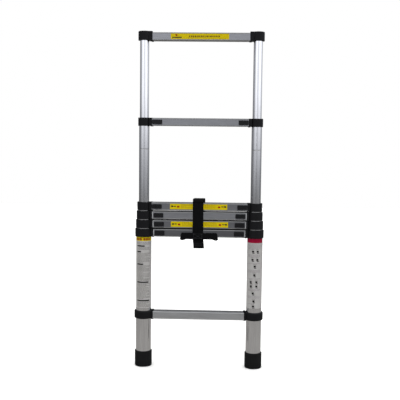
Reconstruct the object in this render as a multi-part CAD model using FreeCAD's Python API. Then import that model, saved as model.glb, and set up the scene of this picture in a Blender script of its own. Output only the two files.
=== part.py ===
import FreeCAD
import Part
import math
import os

from FreeCAD import Vector

# Telescoping ladder: six pairs of nested aluminium tubes, a collar and a rung on the top of each
# pair, and a bottom rung clamped to the widest pair. Millimetres, +Z up, +X to the ladder's right,
# front towards -Y. The origin is on the floor, midway between the two feet.

# ---- driving dimensions ----
TUBE_SPACING = 400.0        # between the two tube axes
SECTIONS = 6
TOP_TUBE_DIAMETER = 32.0
TUBE_STEP = 4.6             # each tube is this much wider than the one above it
TUBE_WALL = 1.5
TUBE_BELOW_RUNG = 375.0     # from a rung's middle down to the lower end of its tubes

BOTTOM_RUNG_Z = 188.0
RUNG_PITCH = 300.0          # between rungs when extended
TOP_RUNG_DROP = 2.0         # the top rung sits this much lower in its caps
CLOSED_PITCH = 31.7         # between rungs when closed
EXTENDED = (5, 6)           # sections that stand extended at rest

RUNG_HEIGHT = 27.4
RUNG_DEPTH = 35.0
RUNG_WALL = 1.6
RUNG_LIP = 2.6              # raised band along the top and bottom of the front and back faces
RUNG_RECESS = 0.8
RUNG_CORNER = 2.0
TREAD_RIBS = 7
TREAD_RIB_HEIGHT = 0.9
TREAD_RIB_WIDTH = 1.6
TREAD_WIDTH = 25.0

COLLAR_OVER_TUBE = 7.0      # collar diameter less tube diameter
COLLAR_DOWN = 14.3          # collar below the rung's middle
COLLAR_UP = 15.1
COLLAR_LID = 4.5            # thickness of the collar's top over the tube's end
GUIDE_CLEARANCE = 0.35      # collar's bore around the next tube, on the radius
MIN_FLANGE = 29.3           # nearest that a rung's end comes to the tube's axis
FLANGE_OVER_COLLAR = 4.6
FLANGE_DEPTH = 33.0
FLANGE_DOWN = 13.5
FLANGE_UP = 14.9
TONGUE_LENGTH = 50.0
TONGUE_GAP = 0.25
EAR_DROP = 2.0              # tab of the flange that hangs below the rung's end

CAP_DIAMETER = 44.5
CAP_DOWN = 12.5
CAP_UP = 19.0
CAP_ROOF = 4.0
CAP_FILLET = 2.5

CLAMP_DIAMETER = 66.0
CLAMP_DOWN = 12.5
CLAMP_UP = 17.0
CLAMP_FILLET = 4.5
CLAMP_FLANGE = 35.5

FOOT_DIAMETER = 62.0
FOOT_HEIGHT = 56.0
FOOT_SOLE = 8.0             # rubber under the tube's end
FOOT_SOLE_FILLET = 2.5
FOOT_GROOVES = 3
FOOT_GROOVE_PITCH = 5.0

BUTTON_LENGTH = 35.5
BUTTON_HEIGHT = 16.4
BUTTON_THICKNESS = 3.4
BUTTON_TRAVEL = 4.5
BUTTON_RIDGES = 4
BUTTON_GAP = 0.4            # between the button, the collar and the rung's lips
STEM_LENGTH = 8.0
STEM_HEIGHT = 5.6
BOLT_DIAMETER = 10.0
BOLT_BORE = 10.6
BOLT_TIP_GAP = 0.5          # from the bolt's tip to the inner tube when locked
BOLT_BEHIND_STEM = 8.5
LOCK_HOLE = 11.0

SPRING_WIRE = 0.9
SPRING_DIAMETER = 8.0
SPRING_PITCH = 1.9
SPRING_TURNS = 5

SCREW_DIAMETER = 5.0
SCREW_HEAD_DIAMETER = 9.5
SCREW_HEAD_HEIGHT = 1.0
SCREW_END_Y = 7.0

RING_GROOVE_BELOW = 94.7    # mark round tubes 2 to 5, below the rung's middle
RING_GROOVE_WIDTH = 1.4
RING_GROOVE_DEPTH = 0.35

STRAP_WIDTH = 38.6
STRAP_THICKNESS = 2.2
STRAP_INSIDE = 37.4         # between the strap's front and back runs
STRAP_TOP_OVER_RUNG = 31.5  # over the middle of rung 4
STRAP_BOTTOM_Z = 437.0
STRAP_X = -4.6              # the strap lies a little left of the middle
STRAP_BACK_BOTTOM_Z = 470.0
HANDLE_LENGTH = 137.0
HANDLE_HEIGHT = 18.5
HANDLE_THICKNESS = 6.5
HANDLE_TOP_Z = 491.0
HANDLE_LOBE = 7.0           # how far the handle's looped ends hang below its edge
STRAP_GAP = 0.3

HALF_SPACING = TUBE_SPACING / 2
X = Vector(1, 0, 0)
Y = Vector(0, 1, 0)
Z = Vector(0, 0, 1)
LEFT_AXIS = Vector(-HALF_SPACING, 0, 0)


def tube_diameter(section):
    return TOP_TUBE_DIAMETER + TUBE_STEP * (SECTIONS - section)


def rung_z(section):
    """Height of the middle of the rung on that section's collars or caps."""
    z = BOTTOM_RUNG_Z + RUNG_PITCH
    for upper in range(2, section + 1):
        z += RUNG_PITCH if upper in EXTENDED else CLOSED_PITCH
    return z - (TOP_RUNG_DROP if section == SECTIONS else 0)


def collar_diameter(section):
    return tube_diameter(section) + COLLAR_OVER_TUBE


def flange_distance(section):
    """From a tube's axis to the end of the rung on that section."""
    if section == 0:
        return CLAMP_FLANGE
    if section == SECTIONS:
        return MIN_FLANGE
    return max(MIN_FLANGE, collar_diameter(section) / 2 + FLANGE_OVER_COLLAR)


def cylinder(radius, low, high, centre=LEFT_AXIS):
    return Part.makeCylinder(radius, high - low, Vector(centre.x, centre.y, low), Z)


def block(x, y, z):
    """A box from three (low, high) pairs."""
    return Part.makeBox(x[1] - x[0], y[1] - y[0], z[1] - z[0], Vector(x[0], y[0], z[0]))


def inwards(distance):
    """X of a point that far from the left tube's axis, towards the middle of the ladder."""
    return -HALF_SPACING + distance


def pin(radius, near, far, z):
    """A round bar along X between two distances from the left tube's axis."""
    return Part.makeCylinder(radius, far - near, Vector(inwards(near), 0, z), X)


def mirrored(shape):
    return shape.mirror(Vector(0, 0, 0), X)


def save(name, shape):
    shape = shape.removeSplitter() if len(shape.Solids) == 1 else shape
    bad = [s for s in shape.Solids if not s.isValid()]
    if bad or not shape.Solids:
        raise RuntimeError(f"{name} has a bad solid")
    shape.exportStep(os.path.join("parts", name + ".step"))


def save_pair(name, shape, suffix=""):
    """The left piece, and its mirror image on the right."""
    save(f"left_{name}{suffix}", shape)
    save(f"right_{name}{suffix}", mirrored(shape))


# ---- tubes ----
def tube(section):
    radius = tube_diameter(section) / 2
    z = rung_z(section)
    low = FOOT_SOLE if section == 1 else z - TUBE_BELOW_RUNG
    high = z + (CAP_UP - CAP_ROOF if section == SECTIONS else COLLAR_UP - COLLAR_LID)
    body = cylinder(radius, low, high).cut(cylinder(radius - TUBE_WALL, low - 1, high + 1))
    if section == 1:
        body = body.cut(clamp_screw())
    if section < SECTIONS:
        body = body.cut(pin(LOCK_HOLE / 2, 0, radius + 1, z))
    if section > 1:
        locked_at = z - RUNG_PITCH + (TOP_RUNG_DROP if section == SECTIONS else 0)
        body = body.cut(pin(LOCK_HOLE / 2, 0, radius + 1, locked_at))
    if 1 < section < SECTIONS:
        top = z - RING_GROOVE_BELOW
        groove = cylinder(radius + 1, top - RING_GROOVE_WIDTH, top)
        body = body.cut(groove.cut(cylinder(radius - RING_GROOVE_DEPTH, top - 3, top + 1)))
    return body


# ---- rungs ----
def rung_outline(shrink):
    """Closed wire of a rung's section in the YZ plane, about its middle, drawn in by shrink."""
    y = RUNG_DEPTH / 2 - shrink
    z = RUNG_HEIGHT / 2 - shrink
    y_in = y - RUNG_RECESS
    z_lip = RUNG_HEIGHT / 2 - RUNG_LIP - shrink * (math.sqrt(2) - 1)
    r = max(RUNG_CORNER - shrink, 0.6)
    corner = r * (1 - math.sqrt(0.5))
    quarter = [
        Vector(0, y_in, 0),
        Vector(0, y_in, z_lip - RUNG_RECESS),
        Vector(0, y, z_lip),
        Vector(0, y, z - r),
    ]
    arc_middle = Vector(0, y - corner, z - corner)
    arc_end = Vector(0, y - r, z)

    def turned(v, sy, sz):
        return Vector(0, v.y * sy, v.z * sz)

    edges = []
    for sy, sz in ((1, 1), (1, -1), (-1, 1), (-1, -1)):
        line = [turned(v, sy, sz) for v in quarter]
        edges += [Part.makeLine(a, b) for a, b in zip(line, line[1:])]
        edges.append(Part.Arc(line[-1], turned(arc_middle, sy, sz), turned(arc_end, sy, sz)).toShape())
    for sz in (1, -1):
        edges.append(Part.makeLine(turned(arc_end, -1, sz), turned(arc_end, 1, sz)))
    return Part.Wire(Part.__sortEdges__(edges))


def rung(section, z):
    """An extruded rung with a hollow middle, recessed faces and a ribbed tread."""
    half = HALF_SPACING - flange_distance(section)
    outer = Part.Face(rung_outline(0)).extrude(X * 2 * half)
    hollow = Part.Face(rung_outline(RUNG_WALL)).extrude(X * (2 * half + 2))
    outer.translate(Vector(-half, 0, z))
    hollow.translate(Vector(-half - 1, 0, z))
    body = outer
    pitch = TREAD_WIDTH / (TREAD_RIBS - 1)
    top = z + RUNG_HEIGHT / 2
    for i in range(TREAD_RIBS):
        y = -TREAD_WIDTH / 2 + i * pitch
        side = (y - TREAD_RIB_WIDTH / 2, y + TREAD_RIB_WIDTH / 2)
        body = body.fuse(block((-half, half), side, (top - 1, top + TREAD_RIB_HEIGHT)))
    body = body.cut(hollow)
    for end in (1, -1):
        screw = rung_screw(section, z)
        body = body.cut(screw if end == 1 else mirrored(screw))
        if 0 < section < SECTIONS:
            slot = stem_slot(section, z)
            body = body.cut(slot if end == 1 else mirrored(slot))
    return body


# ---- collars, caps and clamps: each takes one end of a rung on its tongue ----
def tongue(section, z, inner_radius):
    """Flange against the rung's end, the tongue inside it, and the ear under it."""
    face = flange_distance(section)
    half_y = FLANGE_DEPTH / 2
    flange = block((inwards(inner_radius), inwards(face)), (-half_y, half_y),
                   (z - FLANGE_DOWN, z + FLANGE_UP))
    ear = block((inwards(face - 6), inwards(face + 2)), (-half_y + 4, half_y - 4),
                (z - RUNG_HEIGHT / 2 - EAR_DROP, z - RUNG_HEIGHT / 2 - 0.05))
    arm = block((inwards(face - 6), inwards(face)), (-half_y + 4, half_y - 4),
                (z - RUNG_HEIGHT / 2 - EAR_DROP, z))
    y = RUNG_DEPTH / 2 - RUNG_WALL - RUNG_RECESS - TONGUE_GAP
    h = RUNG_HEIGHT / 2 - RUNG_WALL - TONGUE_GAP
    core = block((inwards(face - 1), inwards(face + TONGUE_LENGTH)), (-y, y), (z - h, z + h))
    return flange.fuse([ear, arm, core])


def stem_slot(section, z):
    """Room in the front of the rung and the tongue for the button's stem over its travel."""
    middle = stem_distance(section, 0)
    low = middle - STEM_LENGTH / 2 - 0.6
    high = middle + STEM_LENGTH / 2 + BUTTON_TRAVEL + 0.6
    half = STEM_HEIGHT / 2 + 0.6
    return block((inwards(low), inwards(high)), (-RUNG_DEPTH, 0), (z - half, z + half))


def collar(section):
    z = rung_z(section)
    radius = tube_diameter(section) / 2
    outer = collar_diameter(section) / 2
    low, high = z - COLLAR_DOWN, z + COLLAR_UP
    ring = cylinder(outer, low, high)
    ring = ring.makeChamfer(1.2, [e for e in ring.Edges if abs(e.BoundBox.ZMin - e.BoundBox.ZMax) < 0.01])
    body = ring.fuse(tongue(section, z, radius))
    body = body.cut(cylinder(radius, low - EAR_DROP - 1, high - COLLAR_LID))
    body = body.cut(cylinder(tube_diameter(section + 1) / 2 + GUIDE_CLEARANCE, low, high + 1))
    bore_end = flange_distance(section) + TONGUE_LENGTH - 4
    body = body.cut(pin(BOLT_BORE / 2, 0, bore_end, z))
    body = body.cut(stem_slot(section, z))
    return body.cut(rung_screw(section, z))


def top_cap():
    z = rung_z(SECTIONS)
    radius = tube_diameter(SECTIONS) / 2
    ring = cylinder(CAP_DIAMETER / 2, z - CAP_DOWN, z + CAP_UP)
    shoulder = block((-HALF_SPACING, inwards(MIN_FLANGE)), (-FLANGE_DEPTH / 2, FLANGE_DEPTH / 2), (z, z + CAP_UP))
    ring = ring.fuse(shoulder).removeSplitter()
    ring = ring.makeFillet(CAP_FILLET, [e for e in ring.Edges if e.BoundBox.ZMin > z + CAP_UP - 0.01])
    body = ring.fuse(tongue(SECTIONS, z, radius))
    body = body.cut(cylinder(radius, z - CAP_DOWN - EAR_DROP - 5, z + CAP_UP - CAP_ROOF))
    return body.cut(rung_screw(SECTIONS, z))


def clamp():
    z = BOTTOM_RUNG_Z
    radius = tube_diameter(1) / 2
    ring = cylinder(CLAMP_DIAMETER / 2, z - CLAMP_DOWN, z + CLAMP_UP)
    ring = ring.makeFillet(CLAMP_FILLET, [e for e in ring.Edges if abs(e.BoundBox.ZMin - e.BoundBox.ZMax) < 0.01])
    body = ring.fuse(tongue(0, z, radius))
    lug = block((inwards(CLAMP_FLANGE - 5), inwards(CLAMP_FLANGE + 2.5)), (-9, 9),
                (z + RUNG_HEIGHT / 2 + TREAD_RIB_HEIGHT + 0.1, z + RUNG_HEIGHT / 2 + 4.5))
    lug = lug.fuse(block((inwards(CLAMP_FLANGE - 5), inwards(CLAMP_FLANGE)), (-9, 9),
                         (z, z + RUNG_HEIGHT / 2 + 4.5)))
    body = body.fuse(lug)
    body = body.cut(cylinder(radius, z - 30, z + 30))
    body = body.cut(clamp_screw())
    return body.cut(rung_screw(0, z))


# ---- fasteners ----
def rung_screw(section, z):
    """Screw from the back of a rung's left end into the tongue."""
    x = inwards(flange_distance(section) + TONGUE_LENGTH - 8)
    face = RUNG_DEPTH / 2 - RUNG_RECESS
    shank = Part.makeCylinder(SCREW_DIAMETER / 2, face - SCREW_END_Y, Vector(x, SCREW_END_Y, z), Y)
    head = Part.makeCylinder(SCREW_HEAD_DIAMETER / 2, SCREW_HEAD_HEIGHT, Vector(x, face, z), Y)
    return shank.fuse(head)


def clamp_screw():
    """Countersunk screw through the back of the left clamp into its tube."""
    back = CLAMP_DIAMETER / 2
    centre = Vector(LEFT_AXIS.x, back - 6.5, BOTTOM_RUNG_Z)
    shank = Part.makeCylinder(2.0, 6.0, centre, Y)
    head = Part.makeCone(2.0, 4.2, 2.4, centre + Vector(0, 3.6, 0), Y)
    return shank.fuse(head)


# ---- locks ----
def stem_distance(section, travel):
    """From the tube's axis to the middle of the button's stem, at that travel from locked."""
    return flange_distance(section) + BUTTON_GAP + BUTTON_LENGTH / 2 + travel


def lock_button(section):
    """Thumb plate, stem and locking bolt. Sections that stand closed hold theirs drawn back."""
    travel = 0 if section + 1 in EXTENDED else BUTTON_TRAVEL
    z = rung_z(section)
    middle = stem_distance(section, travel)
    x = (inwards(middle - BUTTON_LENGTH / 2), inwards(middle + BUTTON_LENGTH / 2))
    front = -RUNG_DEPTH / 2 + RUNG_RECESS - BUTTON_GAP
    face = front - BUTTON_THICKNESS
    half = BUTTON_HEIGHT / 2
    plate = block(x, (face, front), (z - half, z + half))
    upright = [e for e in plate.Edges if e.BoundBox.YMax - e.BoundBox.YMin > 1]
    plate = plate.makeFillet(3.0, upright)
    rim = [e for e in plate.Edges if e.BoundBox.YMax < face + 0.01]
    plate = plate.makeFillet(0.9, rim)
    ridge_pitch = BUTTON_LENGTH / (BUTTON_RIDGES + 3)
    for i in range(BUTTON_RIDGES):
        rx = inwards(middle) + (i - (BUTTON_RIDGES - 1) / 2) * ridge_pitch
        plate = plate.fuse(block((rx - 0.8, rx + 0.8), (face - 0.7, face + 0.5), (z - half + 2.5, z + half - 2.5)))
    stem = block((inwards(middle - STEM_LENGTH / 2), inwards(middle + STEM_LENGTH / 2)), (front - 0.5, 0),
                 (z - STEM_HEIGHT / 2, z + STEM_HEIGHT / 2))
    tip = tube_diameter(section + 1) / 2 + BOLT_TIP_GAP + travel
    end = middle + BOLT_BEHIND_STEM
    bolt = pin(BOLT_DIAMETER / 2, tip, end, z)
    bolt = bolt.makeChamfer(1.0, [e for e in bolt.Edges if e.BoundBox.XMax < inwards(tip) + 0.01])
    return plate.fuse([stem, bolt])


def lock_spring(section):
    """Coil spring behind a drawn-back bolt, seated on the end of the tongue's bore."""
    z = rung_z(section)
    length = SPRING_PITCH * SPRING_TURNS
    start = inwards(flange_distance(section) + TONGUE_LENGTH - 4 - SPRING_WIRE - length)
    radius = (SPRING_DIAMETER - SPRING_WIRE) / 2
    helix = Part.makeHelix(SPRING_PITCH, length, radius)
    wire = Part.Wire(helix.Edges)
    ring = Part.Wire(Part.makeCircle(SPRING_WIRE / 2, Vector(radius, 0, 0), Y))
    coil = wire.makePipeShell([ring], True, True)
    coil.rotate(Vector(0, 0, 0), Y, 90)
    coil.translate(Vector(start, 0, z))
    return coil


# ---- feet ----
def foot():
    radius = FOOT_DIAMETER / 2
    body = cylinder(radius, 0, FOOT_HEIGHT)
    body = body.makeChamfer(1.5, [e for e in body.Edges if e.BoundBox.ZMin > FOOT_HEIGHT - 0.01])
    body = body.makeFillet(FOOT_SOLE_FILLET, [e for e in body.Edges if e.BoundBox.ZMax < 0.01])
    body = body.cut(cylinder(tube_diameter(1) / 2, FOOT_SOLE, FOOT_HEIGHT + 1))
    for i in range(FOOT_GROOVES):
        z = 6.0 + i * FOOT_GROOVE_PITCH
        groove = cylinder(radius + 1, z, z + 1.4)
        body = body.cut(groove.cut(cylinder(radius - 1.0, z - 1, z + 3)))
    return body


# ---- carry strap and handle ----
def carry_strap():
    """Webbing hung over rung 4, with one run down the front of the closed rungs and one down the back."""
    inner = STRAP_INSIDE / 2
    outer = inner + STRAP_THICKNESS
    top = rung_z(4) + STRAP_TOP_OVER_RUNG
    half = STRAP_WIDTH / 2
    bend = 9.0
    hull = block((-half, half), (-outer, outer), (STRAP_BOTTOM_Z, top))
    hull = hull.makeFillet(bend, [e for e in hull.Edges if e.BoundBox.ZMin > top - 0.01 and e.BoundBox.XLength > 1])
    room = block((-half - 1, half + 1), (-inner, inner), (STRAP_BOTTOM_Z - 1, top - STRAP_THICKNESS))
    room = room.makeFillet(bend - STRAP_THICKNESS, [
        e for e in room.Edges if e.BoundBox.ZMin > top - STRAP_THICKNESS - 0.01 and e.BoundBox.XLength > 1])
    strap = hull.cut(room)
    strap = strap.cut(block((-half - 1, half + 1), (0, outer + 1), (STRAP_BOTTOM_Z - 1, STRAP_BACK_BOTTOM_Z)))
    return strap.translated(X * STRAP_X)


def carry_handle():
    """Flattened webbing loop sewn across the front of the strap; its ends hang a little lower."""
    back = -STRAP_INSIDE / 2 - STRAP_THICKNESS - STRAP_GAP
    front = back - HANDLE_THICKNESS
    half = HANDLE_LENGTH / 2
    low = HANDLE_TOP_Z - HANDLE_HEIGHT
    band = block((-half, half), (front, back), (low, HANDLE_TOP_Z))
    for side in (1, -1):
        x = sorted((side * half, side * (half - 16.0)))
        band = band.fuse(block(x, (front, back), (low - HANDLE_LOBE, low + 1)))
    band = band.removeSplitter()
    corners = [e for e in band.Edges
               if e.BoundBox.YLength > 1 and abs(abs(e.BoundBox.XMin) - half) < 0.01]
    return band.makeFillet(6.0, corners)


def main():
    os.makedirs("parts", exist_ok=True)
    for section in range(1, SECTIONS + 1):
        save_pair("tube", tube(section), f"_{section}")
        z = rung_z(section)
        name = "top_rung" if section == SECTIONS else f"rung_{section}"
        save(name, rung(section, z))
        screws = [rung_screw(section, z)]
        if section == 1:
            screws += [rung_screw(0, BOTTOM_RUNG_Z), clamp_screw()]
        save(f"rung_screws_{section}", Part.Compound(screws + [mirrored(s) for s in screws]))
        if section < SECTIONS:
            save_pair("collar", collar(section), f"_{section}")
            save_pair("release_button", lock_button(section), f"_{section}")
            spring = lock_spring(section)
            save(f"lock_springs_{section}", Part.Compound([spring, mirrored(spring)]))
    save_pair("top_cap", top_cap())
    save_pair("clamp", clamp())
    save_pair("foot", foot())
    save("bottom_rung", rung(0, BOTTOM_RUNG_Z))
    save("carry_strap", carry_strap())
    save("carry_handle", carry_handle())


main()
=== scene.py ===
import math
import random

import bmesh
import bpy
from mathutils import Matrix, Vector


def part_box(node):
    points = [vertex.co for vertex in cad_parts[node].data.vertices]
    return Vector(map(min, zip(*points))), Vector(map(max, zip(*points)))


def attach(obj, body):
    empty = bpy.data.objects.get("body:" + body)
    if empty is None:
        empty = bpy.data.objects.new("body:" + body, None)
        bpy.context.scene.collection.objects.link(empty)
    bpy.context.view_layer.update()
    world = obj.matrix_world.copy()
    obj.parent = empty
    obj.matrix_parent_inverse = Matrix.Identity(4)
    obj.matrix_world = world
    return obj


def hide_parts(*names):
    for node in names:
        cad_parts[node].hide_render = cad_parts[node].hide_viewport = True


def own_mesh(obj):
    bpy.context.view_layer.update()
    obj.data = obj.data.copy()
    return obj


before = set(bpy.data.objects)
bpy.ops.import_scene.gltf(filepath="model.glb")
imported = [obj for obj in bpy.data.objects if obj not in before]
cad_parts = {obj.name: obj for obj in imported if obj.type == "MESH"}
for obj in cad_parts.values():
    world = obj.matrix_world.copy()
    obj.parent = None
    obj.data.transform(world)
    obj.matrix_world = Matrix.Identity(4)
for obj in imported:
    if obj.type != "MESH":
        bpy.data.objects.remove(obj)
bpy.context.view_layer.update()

MM = 0.001

# ---- camera ----
# A short telephoto at chest height, a little to the ladder's right, looking slightly down.
EYE = Vector((0.0942, -2.614, 0.8343))
YAW, PITCH, ROLL = (math.radians(a) for a in (2.038, 4.97, 0.637))
camera = bpy.data.objects.new("camera", bpy.data.cameras.new("camera"))
camera.data.lens = 65.96
camera.data.sensor_width = 36.0
camera.matrix_world = (Matrix.Translation(EYE) @ Matrix.Rotation(YAW, 4, "Z")
                       @ Matrix.Rotation(math.pi / 2 - PITCH, 4, "X") @ Matrix.Rotation(ROLL, 4, "Z"))
bpy.context.collection.objects.link(camera)
bpy.context.scene.camera = camera
bpy.context.scene.view_settings.view_transform = "Standard"


# ---- studio ----
# A seamless white floor under a broad overhead light. Metal mirrors a room that is bright above the
# ladder's middle and dim below it, with a tall softbox to each side and dark corners beyond them.
def add(tree, kind, inputs=None, **settings):
    """Adds a node; an input that is a socket is linked, and any other value is set on it."""
    node = tree.nodes.new(kind)
    for key, value in settings.items():
        setattr(node, key, value)
    for key, value in (inputs or {}).items():
        if isinstance(value, bpy.types.NodeSocket):
            tree.links.new(value, node.inputs[key])
        else:
            node.inputs[key].default_value = value
    return node


def linear(colour, alpha=1.0):
    """An sRGB hex colour as linear RGBA."""
    parts = [int(colour[i:i + 2], 16) / 255 for i in (1, 3, 5)]
    return [c / 12.92 if c <= 0.04045 else ((c + 0.055) / 1.055) ** 2.4 for c in parts] + [alpha]


def set_ramp(node, stops):
    """Stops are (position, linear grey or RGBA)."""
    elements = node.color_ramp.elements
    while len(elements) < len(stops):
        elements.new(0.5)
    for element, (position, value) in zip(elements, stops):
        element.position = position
        element.color = (value, value, value, 1) if isinstance(value, (int, float)) else value


COOL = (1.0, 1.035, 1.13)
WARM = (1.0, 0.98, 0.96)


def tinted(value, tint):
    return [value * part for part in tint] + [1]


# Each stop is how high a direction points, from 0 straight down to 1 straight up, and the brightness.
ROOM_BY_HEIGHT = [(0.0, 0.50), (0.22, 0.42), (0.31, 0.14), (0.345, tinted(0.46, WARM)),
                  (0.365, tinted(0.47, WARM)), (0.405, tinted(0.36, WARM)), (0.43, 0.20), (0.45, 0.22),
                  (0.465, tinted(0.30, COOL)), (0.478, tinted(0.46, COOL)), (0.49, tinted(0.64, COOL)),
                  (0.508, tinted(0.96, COOL)), (0.53, tinted(1.42, COOL)), (0.60, tinted(1.5, COOL)),
                  (1.0, 1.0)]
# Each stop is a compass direction, from 0 behind, through 0.25 left and 0.5 in front, to 0.75 right.
ROOM_BY_COMPASS = [(0.0, 0.16), (0.12, 0.18), (0.20, 0.30), (0.28, 0.33), (0.34, 0.90), (0.39, 1.20),
                   (0.48, 1.05), (0.51, 0.62), (0.54, 0.95), (0.60, 1.15), (0.65, 1.25), (0.72, 1.15),
                   (0.765, 0.75), (0.81, 0.45), (0.92, 0.60), (1.0, 0.16)]
# The compass pattern is full above the horizon, and fades to a share of itself below it.
FADED_AT, FADED_SHARE = -0.16, 0.12
ROOM_SOFT_LIGHT = 0.27
WHITE = (1, 1, 1, 1)
world = bpy.data.worlds.new("studio")
world.use_nodes = True
room = world.node_tree
room.nodes.clear()
direction = add(room, "ShaderNodeTexCoord")
axes = add(room, "ShaderNodeSeparateXYZ", {"Vector": direction.outputs["Generated"]})
height = add(room, "ShaderNodeMapRange", {"Value": axes.outputs["Z"], "From Min": -1.0, "From Max": 1.0})
by_height = add(room, "ShaderNodeValToRGB", {"Fac": height.outputs["Result"]})
set_ramp(by_height, ROOM_BY_HEIGHT)
front = add(room, "ShaderNodeMath", {0: axes.outputs["Y"], 1: -1.0}, operation="MULTIPLY")
turn = add(room, "ShaderNodeMath", {0: axes.outputs["X"], 1: front.outputs["Value"]}, operation="ARCTAN2")
compass = add(room, "ShaderNodeMapRange", {
    "Value": turn.outputs["Value"], "From Min": -math.pi, "From Max": math.pi})
by_compass = add(room, "ShaderNodeValToRGB", {"Fac": compass.outputs["Result"]})
set_ramp(by_compass, ROOM_BY_COMPASS)
above = add(room, "ShaderNodeMapRange", {
    "Value": axes.outputs["Z"], "From Min": FADED_AT, "From Max": 0.0, "To Min": FADED_SHARE})
even = add(room, "ShaderNodeMix", {
    "Factor": above.outputs["Result"], "A": WHITE, "B": by_compass.outputs["Color"]}, data_type="RGBA")
mirrored_room = add(room, "ShaderNodeMix", {
    "Factor": 1.0, "A": by_height.outputs["Color"], "B": even.outputs["Result"]},
    data_type="RGBA", blend_type="MULTIPLY")
path = add(room, "ShaderNodeLightPath")
soft = add(room, "ShaderNodeMix", {
    "Factor": path.outputs["Is Diffuse Ray"], "A": mirrored_room.outputs["Result"],
    "B": (ROOM_SOFT_LIGHT, ROOM_SOFT_LIGHT, ROOM_SOFT_LIGHT, 1)}, data_type="RGBA")
seen = add(room, "ShaderNodeMix", {
    "Factor": path.outputs["Is Camera Ray"], "A": soft.outputs["Result"], "B": WHITE}, data_type="RGBA")
backdrop = add(room, "ShaderNodeBackground", {"Color": seen.outputs["Result"]})
add(room, "ShaderNodeOutputWorld", {"Surface": backdrop.outputs["Background"]})
bpy.context.scene.world = world


def link_mesh(name, mesh):
    piece = bpy.data.objects.new(name, mesh)
    bpy.context.collection.objects.link(piece)
    return piece


FLOOR_HALF, FLOOR_DROP = 6.0, 0.5 * MM
floor_mesh = bpy.data.meshes.new("floor")
quarters = ((-1, -1), (1, -1), (1, 1), (-1, 1))
floor_mesh.from_pydata([(FLOOR_HALF * x, FLOOR_HALF * y, -FLOOR_DROP) for x, y in quarters],
                       [], [(0, 1, 2, 3)])
floor = link_mesh("floor", floor_mesh)
floor.visible_glossy = False
floor.visible_diffuse = False
paper = bpy.data.materials.new("seamless_paper")
paper.use_nodes = True
paper_shader = paper.node_tree.nodes["Principled BSDF"]
paper_shader.inputs["Base Color"].default_value = linear("#F7F7F6")
paper_shader.inputs["Roughness"].default_value = 0.9
paper_shader.inputs["Specular IOR Level"].default_value = 0.0
floor_mesh.materials.append(paper)

overhead = bpy.data.objects.new("overhead", bpy.data.lights.new("overhead", "SUN"))
overhead.data.energy = 3.9
overhead.data.angle = math.radians(100)
overhead.visible_glossy = False
bpy.context.collection.objects.link(overhead)


# ---- tubes ----
# Twelve drawn 6063 aluminium tubes, satin anodised: each slides in the collar of the tube below it.
# Drawing leaves fine lines along the tube, and handling leaves faint rubbed bands.
def new_material(name):
    material = bpy.data.materials.new(name)
    material.use_nodes = True
    return material, material.node_tree, material.node_tree.nodes["Principled BSDF"]


def along(tree, stretch):
    """Object coordinates squeezed along each axis, to draw a pattern out."""
    place = add(tree, "ShaderNodeTexCoord")
    squeezed = add(tree, "ShaderNodeMapping", {"Vector": place.outputs["Object"], "Scale": stretch})
    return squeezed.outputs["Vector"]


def shades(shader, pattern, dark, pale, span=(0.3, 0.7)):
    """Colours a finish between two shades, as a pattern goes from one end of the span to the other."""
    tint = add(shader.id_data, "ShaderNodeValToRGB", {"Fac": pattern})
    set_ramp(tint, [(span[0], linear(dark)), (span[1], linear(pale))])
    shader.id_data.links.new(tint.outputs["Color"], shader.inputs["Base Color"])


def polish(shader, pattern, least, most, span=(0.3, 0.7)):
    """Varies a finish's roughness in the same way."""
    rough = add(shader.id_data, "ShaderNodeMapRange", {
        "Value": pattern, "From Min": span[0], "From Max": span[1], "To Min": least, "To Max": most})
    shader.id_data.links.new(rough.outputs["Result"], shader.inputs["Roughness"])


def emboss(shader, pattern, strength, height):
    """Raises a pattern on a finish as fine relief."""
    relief = add(shader.id_data, "ShaderNodeBump", {
        "Height": pattern, "Strength": strength, "Distance": height})
    shader.id_data.links.new(relief.outputs["Normal"], shader.inputs["Normal"])


def dress(node_name, material):
    """Gives a CAD node its finish."""
    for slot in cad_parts[node_name].material_slots:
        slot.material = material


SIDES = ("left", "right")
SECTIONS = range(1, 7)
DRAW_LINE, RUBBED_BAND = 0.9 * MM, 71.43 * MM
tube_metal, tree, shader = new_material("anodised_drawn_tube")
lines = add(tree, "ShaderNodeTexNoise", {
    "Vector": along(tree, (1, 1, 0.015)), "Scale": 1 / DRAW_LINE, "Detail": 3.0})
rub = add(tree, "ShaderNodeTexNoise", {
    "Vector": along(tree, (1, 1, 0.25)), "Scale": 1 / RUBBED_BAND, "Detail": 4.0})
shades(shader, lines.outputs["Fac"], "#C6C5C4", "#DAD9D8")
polish(shader, rub.outputs["Fac"], 0.09, 0.15)
emboss(shader, lines.outputs["Fac"], 0.08, 0.012 * MM)
shader.inputs["Metallic"].default_value = 1.0
for section in SECTIONS:
    for side in SIDES:
        dress(f"{side}_tube_{section}", tube_metal)


# ---- stop marks ----
# A bright slanting line rolled round tubes 2 to 5 in a groove, so that it catches the light from
# above. It shows how far the tube may be drawn out.
RIB = 0.9 * MM


def middle_height(rung):
    """The height of a rung's middle line, its tread's ribs left out."""
    low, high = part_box(rung)
    return (low[2] + high[2] - RIB) / 2


def made(name, mesh, *materials):
    """Turns a bmesh into a piece, with its faces outwards."""
    bmesh.ops.recalc_face_normals(mesh, faces=mesh.faces)
    data = bpy.data.meshes.new(name)
    mesh.to_mesh(data)
    mesh.free()
    for material in materials:
        data.materials.append(material)
    return link_mesh(name, data)


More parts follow.
